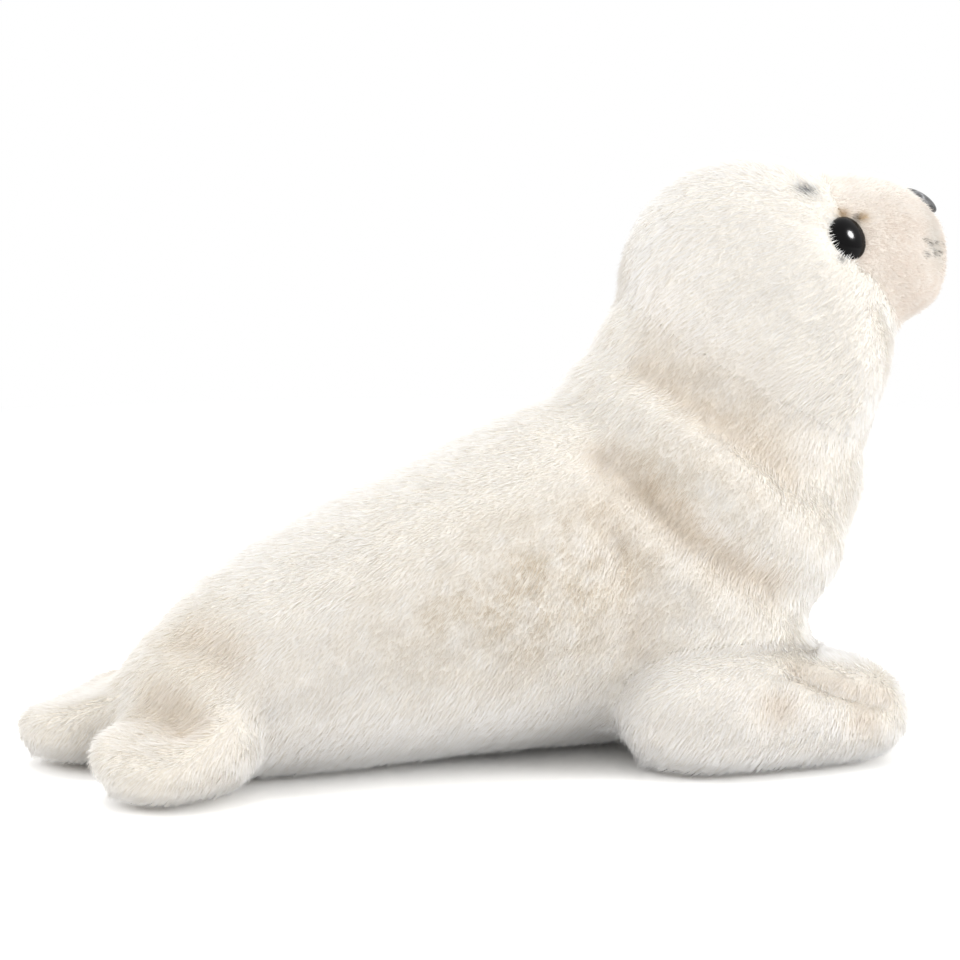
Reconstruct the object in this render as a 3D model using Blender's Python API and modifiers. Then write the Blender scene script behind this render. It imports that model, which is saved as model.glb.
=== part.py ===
"""Plush seal pup, lying on its belly with its head up.

Metres, +Z up, +X towards the head. The floor is z = 0. The seal's own right side is on -Y.
Each stuffed compartment is one closed form: a sphere whose rings are carried to stations along it.
The head and the tail end are both turned a little to the seal's right.
"""

import math

import bmesh
import bpy
from mathutils import Matrix, Vector
from mathutils.bvhtree import BVHTree

GAP = 0.0003                       # clearance between pieces that touch
BELLY_SINK = 0.0015                # how far the stuffed forms press flat on the floor
FLOOR_SIZE = 1.0

# Torso, from the rump to the breast: each length is the distance on to the next station
TORSO_REAR = -0.141
RUMP_START = 0.015
RUMP_RISE = 0.020                  # height of the rearmost point of the torso
RUMP_HEIGHT = 0.045
RUMP_WIDTH = 0.066
RUMP_LENGTH = 0.032
LOIN_HEIGHT = 0.072
LOIN_WIDTH = 0.096
LOIN_LENGTH = 0.035
BACK_HEIGHT = 0.091
BACK_WIDTH = 0.114
BACK_LENGTH = 0.038
FLANK_HEIGHT = 0.107
FLANK_WIDTH = 0.127
FLANK_LENGTH = 0.036
HUMP_HEIGHT = 0.127
HUMP_WIDTH = 0.122
HUMP_LENGTH = 0.030
SHOULDER_HEIGHT = 0.135
SHOULDER_WIDTH = 0.110
SHOULDER_LENGTH = 0.033
CHEST_HEIGHT = 0.110
CHEST_WIDTH = 0.118
CHEST_LENGTH = 0.030
BREAST_HEIGHT = 0.094
BREAST_WIDTH = 0.096
BREAST_LENGTH = 0.023
BREAST_RISE = 0.058                # height of the foremost point of the torso
BELLY_ARCH = 0.004                 # rise of the belly off the floor amidships
TAIL_TURN = math.radians(9)        # the rear bends to the seal's right

# Neck, a column with tilted folds, rooted behind the chest
NECK_TILT = math.radians(35)       # how far its folds lean down towards the front
NECK_BEHIND_CHEST = 0.014
NECK_ROOT_RISE = 0.060
NECK_LENGTH = 0.097
NECK_DEPTH = 0.126
NECK_WIDTH = 0.122
NECK_SET_BACK = 0.012              # how far its top sits back from the line of its root
COLLAR_DEPTH = 0.126
COLLAR_WIDTH = 0.101
FOLD_DEPTH = 0.006
FOLD_PLACE = 0.060                 # up the column from its root
FOLD_SPREAD = 0.009
NECK_BASE_PROFILE = [(0.24, 0.84, 0.80), (0.44, 0.98, 0.97)]   # shares up to the fold, of depth, of width
COLLAR_TOP_PROFILE = (0.88, 0.82)                              # shares of the collar's depth and width

# Head, before it is turned
HEAD_TURN = math.radians(12)
HEAD_OVER_NECK = 0.012
HEAD_BEHIND_NECK = 0.006
HEAD_LENGTH = 0.105
HEAD_HEIGHT = 0.112
HEAD_WIDTH = 0.106
# Shares of the head's own length, and of its half height and half width: (along, rise, height, width)
HEAD_PROFILE = [
    (0.06, -0.04, 0.54, 0.50),
    (0.20, 0.04, 0.80, 0.80),
    (0.38, 0.03, 0.96, 0.97),
    (0.58, 0.00, 1.00, 1.00),
    (0.78, -0.08, 0.89, 0.94),
    (0.92, -0.19, 0.62, 0.70),
]
NAPE_DROP = 0.12                   # share of the half height, at the rearmost point
CHEEK_DROP = 0.28                  # the same at the foremost point

# Muzzle, the short-pile face panel
MUZZLE_SEAT = 0.010                # from the middle of the head to the rear of the muzzle
MUZZLE_RISE = 0.020                # above the middle of the head
MUZZLE_LENGTH = 0.061
MUZZLE_HEIGHT = 0.054
MUZZLE_WIDTH = 0.078
MUZZLE_PROFILE = [
    (0.10, 0.06, 0.90, 0.90),
    (0.34, 0.04, 1.00, 1.00),
    (0.60, 0.03, 0.98, 0.90),
    (0.82, 0.00, 0.86, 0.68),
    (0.95, -0.08, 0.54, 0.40),
]
SNOUT_DROP = 0.08                  # share of the half height, at the tip

# Eyes, each a dome with a flange and a shank, held by a washer inside the face
EYE_FORWARD = 0.0205               # from the rear of the muzzle
EYE_RISE = 0.010                   # above the middle of the muzzle
EYE_OUTWARD = math.radians(46)     # how far each eye faces to its side
EYE_UPWARD = math.radians(28)
EYE_DIAMETER = 0.0165
EYE_DOME = 0.0062
EYE_FLANGE = 0.0016
EYE_SUNK = 0.0030                  # flange below the tips of the pile
SHANK_DIAMETER = 0.0040
SHANK_LENGTH = 0.0110
WASHER_DIAMETER = 0.0110
WASHER_THICKNESS = 0.0016
WASHER_BEHIND_FLANGE = 0.0060
DOME_STEPS = 5
TURN_STEPS = 16

# Nose, a small pad
NOSE_FORWARD = 0.038               # from the rear of the muzzle to where the line out to the nose starts
NOSE_UPWARD = math.radians(56)
NOSE_LENGTH = 0.0140
NOSE_WIDTH = 0.0170
NOSE_THICKNESS = 0.0070
NOSE_SUNK = 0.0012

# Front flippers; a station is (share of the length, height, share of that height, width)
FRONT_BEHIND_SHOULDER = 0.010
FRONT_TUCK = 0.003                 # middle of the flipper inside the side of the chest
FRONT_LENGTH = 0.115
FRONT_SPLAY = {"right": math.radians(-10), "left": math.radians(4)}   # outwards
WRIST_HEIGHT = 0.047
WRIST_WIDTH = 0.064
CREASE_HEIGHT = 0.038              # of the crease between wrist and palm
PALM_HEIGHT = 0.037
PALM_WIDTH = 0.068
FRONT_STATIONS = [
    (0.08, WRIST_HEIGHT, 0.72, WRIST_WIDTH * 0.68),
    (0.24, WRIST_HEIGHT, 1.00, WRIST_WIDTH * 0.94),
    (0.46, WRIST_HEIGHT, 1.00, WRIST_WIDTH),
    (0.63, CREASE_HEIGHT, 1.00, PALM_WIDTH * 0.94),
    (0.80, PALM_HEIGHT, 1.00, PALM_WIDTH),
    (0.93, PALM_HEIGHT, 0.80, PALM_WIDTH * 0.76),
]

# Hind flippers, cupped on top, with the same kind of stations
HIND_ROOT_AHEAD = {"right": 0.050, "left": 0.043}      # of the tail end of the torso
HIND_INSIDE_RUMP = 0.0055          # middle of the flipper inside the side of the rump
HIND_LENGTH = 0.066
HIND_SPLAY = math.radians(2)
HIND_HEIGHT = 0.046
HIND_TIP_HEIGHT = 0.028
HIND_WIDTH = 0.055
HIND_HOLLOW = 0.014                # depth of the cupped top
HIND_LEAN = math.radians(10)       # the inner side leans up on the rump
HIND_STATIONS = [
    (0.08, HIND_HEIGHT, 0.76, HIND_WIDTH * 0.66),
    (0.26, HIND_HEIGHT, 1.00, HIND_WIDTH * 0.92),
    (0.50, (HIND_HEIGHT + HIND_TIP_HEIGHT) / 2.0, 1.00, HIND_WIDTH),
    (0.74, HIND_TIP_HEIGHT, 1.00, HIND_WIDTH * 0.96),
    (0.92, HIND_TIP_HEIGHT, 0.74, HIND_WIDTH * 0.68),
]

SIDES = {"right": -1.0, "left": 1.0}
RING_POINTS = 8
FLIPPER_POINTS = 14


def clear_scene():
    for thing in list(bpy.data.objects):
        bpy.data.objects.remove(thing, do_unlink=True)


def collection(name):
    group = bpy.data.collections.new(name)
    bpy.context.scene.collection.children.link(group)
    return group


def material(name, colour, roughness):
    mat = bpy.data.materials.new(name)
    mat.use_nodes = True
    shader = mat.node_tree.nodes["Principled BSDF"]
    shader.inputs["Base Color"].default_value = (*colour, 1.0)
    shader.inputs["Roughness"].default_value = roughness
    shader.inputs["Metallic"].default_value = 0.0
    mat.diffuse_color = (*colour, 1.0)
    return mat


def add_object(name, bm, group, mat=None, levels=0):
    """Link a mesh as an object; without a material it is a cutter."""
    mesh = bpy.data.meshes.new(name)
    bm.to_mesh(mesh)
    bm.free()
    mesh.shade_smooth()
    thing = bpy.data.objects.new(name, mesh)
    group.objects.link(thing)
    if mat:
        mesh.materials.append(mat)
    else:
        thing.hide_render = True
        thing.display_type = "WIRE"
    if levels:
        smooth = thing.modifiers.new("rounded", "SUBSURF")
        smooth.levels = levels
        smooth.render_levels = levels
    return thing


def boolean(thing, tool, operation="DIFFERENCE"):
    cut = thing.modifiers.new(operation.lower() + "_" + tool.name, "BOOLEAN")
    cut.operation = operation
    cut.solver = "EXACT"
    cut.object = tool


def soft_form(stations, start, end, around, grow=0.0):
    """A closed stuffed form along +X: a sphere whose rings go to the stations.

    A station is (along, rise, half height, half width); start and end are (along, rise).
    grow swells the form all round, for a cutter that leaves a gap.
    """
    bm = bmesh.new()
    bmesh.ops.create_uvsphere(bm, u_segments=around, v_segments=len(stations) + 1, radius=1.0)
    ring_step = math.pi / (len(stations) + 1)
    fullness = 3.0 / (2.0 + math.cos(2.0 * math.pi / around))
    for vert in bm.verts:
        ring = round(math.acos(max(-1.0, min(1.0, vert.co.z))) / ring_step)
        turn = math.atan2(vert.co.y, vert.co.x)
        if ring == 0:
            vert.co = (start[0] - grow, 0.0, start[1])
        elif ring > len(stations):
            vert.co = (end[0] + grow, 0.0, end[1])
        else:
            along, rise, half_height, half_width = stations[ring - 1]
            high = (half_height * fullness + grow) * math.cos(turn)
            wide = (half_width * fullness + grow) * math.sin(turn)
            vert.co = (along, wide, rise + high)
    return bm


def standing(height, lift=0.0):
    """Rise and half height of a station that stands on the floor, pressed flat there."""
    low = lift - BELLY_SINK
    return (height + low) / 2.0, (height - low) / 2.0


def standing_stations(table, length):
    stations = []
    for along, height, share, width in table:
        rise, half = standing(height)
        stations.append((length * along, rise, half * share, width / 2.0))
    return stations


def profile_stations(profile, rear, length, rise, high, wide):
    """Stations of a form whose profile is given in shares of its own size."""
    return [
        (rear + length * along, rise + high * up, high * tall, wide * broad)
        for along, up, tall, broad in profile
    ]


rump_x = TORSO_REAR + RUMP_START
loin_x = rump_x + RUMP_LENGTH
back_x = loin_x + LOIN_LENGTH
flank_x = back_x + BACK_LENGTH
hump_x = flank_x + FLANK_LENGTH
shoulder_x = hump_x + HUMP_LENGTH
chest_x = shoulder_x + SHOULDER_LENGTH
breast_x = chest_x + CHEST_LENGTH
torso_front = breast_x + BREAST_LENGTH
tail_pivot = Vector((back_x, 0.0, 0.0))

neck_root = Vector((chest_x - NECK_BEHIND_CHEST, 0.0, NECK_ROOT_RISE))
neck_frame = Matrix.Translation(neck_root) @ Matrix.Rotation(NECK_TILT - math.radians(90), 4, "Y")
neck_top = neck_frame @ Vector((NECK_LENGTH, 0.0, NECK_SET_BACK))
head_middle = neck_top + Vector((-HEAD_BEHIND_NECK, 0.0, HEAD_OVER_NECK))
head_turn = (
    Matrix.Translation(head_middle) @ Matrix.Rotation(-HEAD_TURN, 4, "Z") @ Matrix.Translation(-head_middle)
)
muzzle_rear = head_middle + Vector((MUZZLE_SEAT, 0.0, MUZZLE_RISE))


def bend_tail(bm):
    """Bend what lies behind the back station to the seal's right, more the further back it lies."""
    for vert in bm.verts:
        share = min(1.0, max(0.0, (back_x - vert.co.x) / (back_x - TORSO_REAR)))
        swing = Matrix.Rotation(TAIL_TURN * share, 3, "Z")
        vert.co = swing @ (vert.co - tail_pivot) + tail_pivot
    return bm


def torso_form(grow=0.0):
    stations = [
        (rump_x, *standing(RUMP_HEIGHT), RUMP_WIDTH / 2.0),
        (loin_x, *standing(LOIN_HEIGHT), LOIN_WIDTH / 2.0),
        (back_x, *standing(BACK_HEIGHT), BACK_WIDTH / 2.0),
        (flank_x, *standing(FLANK_HEIGHT, BELLY_ARCH), FLANK_WIDTH / 2.0),
        (hump_x, *standing(HUMP_HEIGHT, BELLY_ARCH), HUMP_WIDTH / 2.0),
        (shoulder_x, *standing(SHOULDER_HEIGHT, BELLY_ARCH), SHOULDER_WIDTH / 2.0),
        (chest_x, *standing(CHEST_HEIGHT), CHEST_WIDTH / 2.0),
        (breast_x, *standing(BREAST_HEIGHT), BREAST_WIDTH / 2.0),
    ]
    rear = (TORSO_REAR, RUMP_RISE)
    return bend_tail(soft_form(stations, rear, (torso_front, BREAST_RISE), RING_POINTS, grow))


def neck_form(grow=0.0):
    lean = NECK_SET_BACK / NECK_LENGTH
    low = FOLD_PLACE - FOLD_SPREAD
    high = FOLD_PLACE + FOLD_SPREAD
    rings = [(FOLD_PLACE * up, NECK_DEPTH * deep, NECK_WIDTH * wide) for up, deep, wide in NECK_BASE_PROFILE]
    rings.append((low, NECK_DEPTH, NECK_WIDTH))
    rings.append((FOLD_PLACE, COLLAR_DEPTH - 2.0 * FOLD_DEPTH, COLLAR_WIDTH - 2.0 * FOLD_DEPTH))
    rings.append((high, COLLAR_DEPTH, COLLAR_WIDTH))
    deep, wide = COLLAR_TOP_PROFILE
    rings.append(((high + NECK_LENGTH) / 2.0, COLLAR_DEPTH * deep, COLLAR_WIDTH * wide))
    stations = [(along, lean * along, depth / 2.0, width / 2.0) for along, depth, width in rings]
    bm = soft_form(stations, (0.0, 0.0), (NECK_LENGTH, NECK_SET_BACK), RING_POINTS, grow)
    bmesh.ops.transform(bm, matrix=neck_frame, verts=bm.verts)
    return bm


def hood_form():
    high = HEAD_HEIGHT / 2.0
    rear = head_middle.x - HEAD_LENGTH / 2.0
    rise = head_middle.z
    stations = profile_stations(HEAD_PROFILE, rear, HEAD_LENGTH, rise, high, HEAD_WIDTH / 2.0)
    start = (rear, rise - high * NAPE_DROP)
    end = (rear + HEAD_LENGTH, rise - high * CHEEK_DROP)
    bm = soft_form(stations, start, end, RING_POINTS)
    bmesh.ops.transform(bm, matrix=head_turn, verts=bm.verts)
    return bm


def muzzle_form(grow=0.0):
    high = MUZZLE_HEIGHT / 2.0
    rear = muzzle_rear.x
    rise = muzzle_rear.z
    stations = profile_stations(MUZZLE_PROFILE, rear, MUZZLE_LENGTH, rise, high, MUZZLE_WIDTH / 2.0)
    end = (rear + MUZZLE_LENGTH, rise - high * SNOUT_DROP)
    bm = soft_form(stations, (rear, rise), end, RING_POINTS, grow)
    bmesh.ops.transform(bm, matrix=head_turn, verts=bm.verts)
    return bm


def frame_at(spot, facing):
    """A frame at spot with +X along facing."""
    return Matrix.Translation(spot) @ facing.to_track_quat("X", "Z").to_matrix().to_4x4()


def way_out(form, start, direction):
    """The place where a line from start leaves a form."""
    shape = BVHTree.FromObject(form, bpy.context.evaluated_depsgraph_get())
    return shape.ray_cast(start, direction)[0]


def turned(profile, frame):
    """Turn a closed or axis-ended profile of (along, radius) points about +X, then place it."""
    bm = bmesh.new()
    verts = [bm.verts.new((along, 0.0, radius)) for along, radius in profile]
    rims = [bm.edges.new(pair) for pair in zip(verts, verts[1:])]
    if profile[0][1] and profile[-1][1]:
        rims.append(bm.edges.new((verts[-1], verts[0])))
    bmesh.ops.spin(
        bm, geom=verts + rims, cent=(0, 0, 0), axis=(1, 0, 0), dvec=(0, 0, 0),
        angle=2.0 * math.pi, steps=TURN_STEPS, use_merge=True,
    )
    bmesh.ops.remove_doubles(bm, verts=bm.verts, dist=0.000001)
    bmesh.ops.recalc_face_normals(bm, faces=bm.faces)
    bmesh.ops.transform(bm, matrix=frame, verts=bm.verts)
    return bm


flange_back = -EYE_SUNK - EYE_FLANGE
shank_end = flange_back - SHANK_LENGTH
washer_near = flange_back - WASHER_BEHIND_FLANGE
washer_far = washer_near - WASHER_THICKNESS


def eye_dome(grow=0.0):
    """Profile of the dome and the flange, from the front of the eye to the back of the flange."""
    radius = EYE_DIAMETER / 2.0 + grow
    dome = [(EYE_DOME + grow - EYE_SUNK, 0.0)]
    for step in range(1, DOME_STEPS + 1):
        turn = math.radians(90.0 * step / DOME_STEPS)
        dome.append((math.cos(turn) * (EYE_DOME + grow) - EYE_SUNK, math.sin(turn) * radius))
    return dome + [(flange_back - grow, radius)]


def eye_shape(frame):
    shank = SHANK_DIAMETER / 2.0
    return turned(eye_dome() + [(flange_back, shank), (shank_end, shank), (shank_end, 0.0)], frame)


def washer_shape(frame):
    bore = SHANK_DIAMETER / 2.0 + GAP
    rim = WASHER_DIAMETER / 2.0
    return turned([(washer_near, bore), (washer_near, rim), (washer_far, rim), (washer_far, bore)], frame)


def eye_room(frame):
    """What the face leaves free for the eye, its shank and its washer."""
    shank = SHANK_DIAMETER / 2.0 + GAP
    rim = WASHER_DIAMETER / 2.0 + GAP
    inside = [
        (flange_back - GAP, shank),
        (washer_near + GAP, shank),
        (washer_near + GAP, rim),
        (washer_far - GAP, rim),
        (washer_far - GAP, shank),
        (shank_end - GAP, shank),
        (shank_end - GAP, 0.0),
    ]
    return turned(eye_dome(GAP) + inside, frame)


def nose_shape(frame, grow=0.0):
    bm = bmesh.new()
    bmesh.ops.create_uvsphere(bm, u_segments=16, v_segments=10, radius=1.0)
    size = Vector((NOSE_THICKNESS, NOSE_WIDTH, NOSE_LENGTH)) / 2.0 + Vector((grow, grow, grow))
    bmesh.ops.scale(bm, vec=size, verts=bm.verts)
    sunk = Matrix.Translation((-NOSE_SUNK, 0.0, 0.0))
    bmesh.ops.transform(bm, matrix=frame @ sunk, verts=bm.verts)
    return bm


def front_flipper_form(side, splay):
    stations = standing_stations(FRONT_STATIONS, FRONT_LENGTH)
    start = (0.0, standing(WRIST_HEIGHT)[0])
    end = (FRONT_LENGTH, standing(PALM_HEIGHT)[0])
    bm = soft_form(stations, start, end, FLIPPER_POINTS)
    out = CHEST_WIDTH / 2.0 - FRONT_TUCK
    place = Matrix.Translation((shoulder_x - FRONT_BEHIND_SHOULDER, side * out, 0.0))
    bmesh.ops.transform(bm, matrix=place @ Matrix.Rotation(side * splay, 4, "Z"), verts=bm.verts)
    return bm


def hind_flipper_form(side, root_ahead):
    stations = standing_stations(HIND_STATIONS, HIND_LENGTH)
    tip_rise, tip_half = standing(HIND_TIP_HEIGHT)
    start = (0.0, standing(HIND_HEIGHT)[0])
    bm = soft_form(stations, start, (HIND_LENGTH, tip_rise), FLIPPER_POINTS)
    for vert in bm.verts:
        if vert.co.z > tip_rise:
            across = min(1.0, abs(vert.co.y) / (HIND_WIDTH / 2.0))
            lengthwise = math.sin(math.pi * max(0.0, min(1.0, vert.co.x / HIND_LENGTH)))
            vert.co.z -= HIND_HOLLOW * (1.0 - across ** 2) * lengthwise
    out = RUMP_WIDTH / 2.0 - HIND_INSIDE_RUMP
    deep = math.hypot(HIND_WIDTH / 2.0 * math.sin(HIND_LEAN), tip_half * math.cos(HIND_LEAN))
    lift = deep - tip_rise * math.cos(HIND_LEAN)
    place = Matrix.Translation((TORSO_REAR + root_ahead, side * out, lift))
    heading = Matrix.Rotation(math.radians(180) - side * HIND_SPLAY, 4, "Z")
    lean = Matrix.Rotation(side * HIND_LEAN, 4, "X")
    bmesh.ops.transform(bm, matrix=place @ heading @ lean, verts=bm.verts)
    return bend_tail(bm)


def floor_block():
    """What lies under z = 0, so that stuffed forms rest on flat patches."""
    bm = bmesh.new()
    bmesh.ops.create_cube(bm, size=FLOOR_SIZE)
    bmesh.ops.translate(bm, vec=(0.0, 0.0, -FLOOR_SIZE / 2.0), verts=bm.verts)
    return bm


def stand_on_origin(groups, pieces):
    """Hang everything from an empty, so that the origin is on the floor at the middle of the footprint."""
    depsgraph = bpy.context.evaluated_depsgraph_get()
    corners = [Vector(corner) for piece in pieces for corner in piece.evaluated_get(depsgraph).bound_box]
    middle_x = (min(spot.x for spot in corners) + max(spot.x for spot in corners)) / 2.0
    middle_y = (min(spot.y for spot in corners) + max(spot.y for spot in corners)) / 2.0
    origin = bpy.data.objects.new("origin", None)
    bpy.context.scene.collection.objects.link(origin)
    origin.location = (-middle_x, -middle_y, 0.0)
    for group in groups:
        for thing in group.objects:
            thing.parent = origin


def build():
    clear_scene()
    parts = collection("plush_seal")
    cutters = collection("cutters")
    long_pile = material("white_long_pile", (0.92, 0.89, 0.84), 0.9)
    short_pile = material("cream_short_pile", (0.87, 0.79, 0.70), 0.85)

    floor = add_object("floor", floor_block(), cutters)
    torso_room = add_object("torso_room", torso_form(GAP), cutters, levels=2)
    neck_room = add_object("neck_room", neck_form(GAP), cutters, levels=2)
    muzzle_room = add_object("muzzle_room", muzzle_form(GAP), cutters, levels=2)

    body = add_object("body", torso_form(), parts, long_pile.copy(), levels=2)
    boolean(body, add_object("neck", neck_form(), cutters, levels=2), "UNION")
    boolean(body, floor)

    head = add_object("head", hood_form(), parts, long_pile.copy(), levels=2)
    muzzle = add_object("muzzle", muzzle_form(), parts, short_pile, levels=2)
    eye_middle = head_turn @ (muzzle_rear + Vector((EYE_FORWARD, 0.0, EYE_RISE)))
    nose_start = head_turn @ (muzzle_rear + Vector((NOSE_FORWARD, 0.0, 0.0)))
    ahead = head_turn.to_3x3()
    nose_facing = ahead @ Vector((math.cos(NOSE_UPWARD), 0.0, math.sin(NOSE_UPWARD)))
    nose_frame = frame_at(way_out(muzzle, nose_start, nose_facing), nose_facing)
    eye_frames = {}
    for side, sign in SIDES.items():
        spot = way_out(muzzle, eye_middle, ahead @ Vector((0.0, sign, 0.0)))
        level = Vector((math.cos(EYE_OUTWARD), sign * math.sin(EYE_OUTWARD), math.tan(EYE_UPWARD)))
        eye_frames[side] = frame_at(spot, (ahead @ level).normalized())

    boolean(head, neck_room)
    boolean(head, torso_room)
    boolean(head, muzzle_room)
    boolean(muzzle, neck_room)
    boolean(muzzle, add_object("nose_room", nose_shape(nose_frame, GAP), cutters))
    add_object("nose", nose_shape(nose_frame), parts, material("black_thread", (0.03, 0.03, 0.032), 0.45))
    for side, frame in eye_frames.items():
        room = add_object("eye_room_" + side, eye_room(frame), cutters)
        boolean(muzzle, room)
        boolean(head, room)
        black = material("black_plastic", (0.012, 0.012, 0.013), 0.08)
        add_object("eye_" + side, eye_shape(frame), parts, black)
        nylon = material("white_nylon", (0.85, 0.85, 0.83), 0.4)
        add_object("eye_washer_" + side, washer_shape(frame), parts, nylon)

    for side, sign in SIDES.items():
        front_form = front_flipper_form(sign, FRONT_SPLAY[side])
        hind_form = hind_flipper_form(sign, HIND_ROOT_AHEAD[side])
        front = add_object("front_flipper_" + side, front_form, parts, long_pile.copy(), levels=1)
        hind = add_object("hind_flipper_" + side, hind_form, parts, long_pile.copy(), levels=1)
        for flipper in (front, hind):
            boolean(flipper, torso_room)
            boolean(flipper, floor)
    stand_on_origin((parts, cutters), parts.objects)


build()
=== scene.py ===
import math

import bmesh
import bpy
import numpy as np
from mathutils import Matrix, Vector
from mathutils.bvhtree import BVHTree


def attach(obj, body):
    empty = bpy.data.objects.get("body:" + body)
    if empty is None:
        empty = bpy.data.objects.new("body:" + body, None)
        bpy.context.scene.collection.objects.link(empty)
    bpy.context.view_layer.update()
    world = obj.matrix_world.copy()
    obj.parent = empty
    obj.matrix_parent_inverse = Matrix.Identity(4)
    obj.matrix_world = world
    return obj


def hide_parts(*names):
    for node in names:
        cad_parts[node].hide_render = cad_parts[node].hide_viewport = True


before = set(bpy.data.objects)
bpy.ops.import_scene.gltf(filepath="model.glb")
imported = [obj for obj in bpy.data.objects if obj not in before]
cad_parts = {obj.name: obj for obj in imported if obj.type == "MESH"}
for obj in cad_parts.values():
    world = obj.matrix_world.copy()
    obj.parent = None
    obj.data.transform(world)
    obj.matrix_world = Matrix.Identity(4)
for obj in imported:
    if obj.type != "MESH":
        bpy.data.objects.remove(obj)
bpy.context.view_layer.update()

sceneHere = bpy.context.scene
sceneHere.view_settings.view_transform = "Standard"

mm = 0.001
mergeWithin = 0.00002             # metres; points closer than this are one point
midPlane = -7.5                   # mm; the seal's left and right mirror each other in it
pureWhite = (1.0, 1.0, 1.0, 1.0)


# small helpers

def linearColour(hexText):
    channels = []
    for start in (1, 3, 5):
        value = int(hexText[start:start + 2], 16) / 255.0
        channels.append(value / 12.92 if value <= 0.04045 else ((value + 0.055) / 1.055) ** 2.4)
    return (*channels, 1.0)


def addNode(tree, kind, inputs=None, **settings):
    node = tree.nodes.new(kind)
    for name, value in settings.items():
        setattr(node, name, value)
    for socket, value in (inputs or {}).items():
        if isinstance(value, bpy.types.NodeSocket):
            tree.links.new(value, node.inputs[socket])
        else:
            node.inputs[socket].default_value = value
    return node


def newMaterial(name):
    material = bpy.data.materials.new(name)
    material.use_nodes = True
    material.node_tree.nodes.clear()
    return material


def newPiece(name, mesh):
    piece = bpy.data.objects.new(name, mesh)
    sceneHere.collection.objects.link(piece)
    return piece


def meshFrom(name, bm):
    mesh = bpy.data.meshes.new(name)
    bm.to_mesh(mesh)
    bm.free()
    mesh.shade_smooth()
    return mesh


def bakeModifiers(piece):
    # the piece as it shows now, with nothing left live on it
    depsgraph = bpy.context.evaluated_depsgraph_get()
    depsgraph.update()
    mesh = bpy.data.meshes.new_from_object(piece.evaluated_get(depsgraph))
    mesh.name = piece.name
    piece.modifiers.clear()
    piece.data = mesh


def meshArray(attribute, field, count, wide, kind=np.float32):
    values = np.empty(count * wide, dtype=kind)
    attribute.foreach_get(field, values)
    return values.reshape(-1, wide) if wide > 1 else values


def smoothOver(bm, verts, rounds):
    for _ in range(rounds):
        bmesh.ops.smooth_vert(bm, verts=verts, factor=0.5, use_axis_x=True, use_axis_y=True, use_axis_z=True)


# camera, floor and light

view = {
    "target": Vector((-0.0034, -0.0075, 0.0995)),
    "turn": math.radians(16.0),       # the camera stands towards the tail
    "pitch": math.radians(9.5),
    "distance": 1.2,
    "sizeOfPixel": 0.00036,           # metres at the target
    "pixels": 960,                    # across the photo
    "sensor": 36.0,
}
back = Vector((
    -math.sin(view["turn"]) * math.cos(view["pitch"]),
    -math.cos(view["turn"]) * math.cos(view["pitch"]),
    math.sin(view["pitch"]),
))
cameraData = bpy.data.cameras.new("photoCamera")
cameraData.sensor_width = view["sensor"]
cameraData.lens = view["sensor"] * view["distance"] / (view["pixels"] * view["sizeOfPixel"])
cameraData.clip_end = 30.0
camera = bpy.data.objects.new("photoCamera", cameraData)
camera.location = view["target"] + back * view["distance"]
camera.rotation_euler = (-back).to_track_quat("-Z", "Y").to_euler()
sceneHere.collection.objects.link(camera)
sceneHere.camera = camera

studio = {
    "soft": 0.87,                     # how strongly the world lights the seal
    "paper": 0.92, "paperSeen": 1.30,     # the paper's white for the light, and as the camera sees it
    "fadeFrom": 0.3, "fadeTo": 0.9,       # metres from the seal, where the paper turns plain white
    "floorSize": 6.0,
    "lampAim": Vector((0.0, 0.0, 0.08)),
}
world = bpy.data.worlds.new("studio")
sceneHere.world = world
world.use_nodes = True
tree = world.node_tree
tree.nodes.clear()
paths = addNode(tree, "ShaderNodeLightPath")
soft = addNode(tree, "ShaderNodeBackground", {"Color": pureWhite, "Strength": studio["soft"]})
white = addNode(tree, "ShaderNodeBackground", {"Color": pureWhite, "Strength": 1.0})
seen = addNode(tree, "ShaderNodeMath", {0: paths.outputs["Is Camera Ray"],
               1: paths.outputs["Is Glossy Ray"]}, operation="MAXIMUM")
seenOrThrough = addNode(tree, "ShaderNodeMath", {0: seen.outputs[0],
                        1: paths.outputs["Is Transmission Ray"]}, operation="MAXIMUM")
worldMix = addNode(tree, "ShaderNodeMixShader", {0: seenOrThrough.outputs[0],
                   1: soft.outputs[0], 2: white.outputs[0]})
addNode(tree, "ShaderNodeOutputWorld", {"Surface": worldMix.outputs[0]})

# matt white studio paper, which shows as white and keeps the shadow
paper = newMaterial("studioPaper")
tree = paper.node_tree
matt = addNode(tree, "ShaderNodeBsdfDiffuse", {"Color": (*[studio["paper"]] * 3, 1.0)})
floorPlace = addNode(tree, "ShaderNodeTexCoord")
away = addNode(tree, "ShaderNodeVectorMath", {0: floorPlace.outputs["Object"]}, operation="LENGTH")
faded = addNode(tree, "ShaderNodeMapRange", {"Value": away.outputs["Value"],
                "From Min": studio["fadeFrom"], "From Max": studio["fadeTo"]})
plainWhite = addNode(tree, "ShaderNodeEmission", {"Color": pureWhite, "Strength": 1.0})
bright = addNode(tree, "ShaderNodeBsdfDiffuse", {"Color": (*[studio["paperSeen"]] * 3, 1.0)})
seenFloor = addNode(tree, "ShaderNodeMixShader", {0: faded.outputs[0],
                    1: bright.outputs[0], 2: plainWhite.outputs[0]})
eyePath = addNode(tree, "ShaderNodeLightPath")
byRay = addNode(tree, "ShaderNodeMixShader", {0: eyePath.outputs["Is Camera Ray"],
                1: matt.outputs[0], 2: seenFloor.outputs[0]})
addNode(tree, "ShaderNodeOutputMaterial", {"Surface": byRay.outputs[0]})
bm = bmesh.new()
bmesh.ops.create_grid(bm, x_segments=8, y_segments=8, size=studio["floorSize"])
floor = newPiece("studio_floor", meshFrom("studio_floor", bm))
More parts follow.
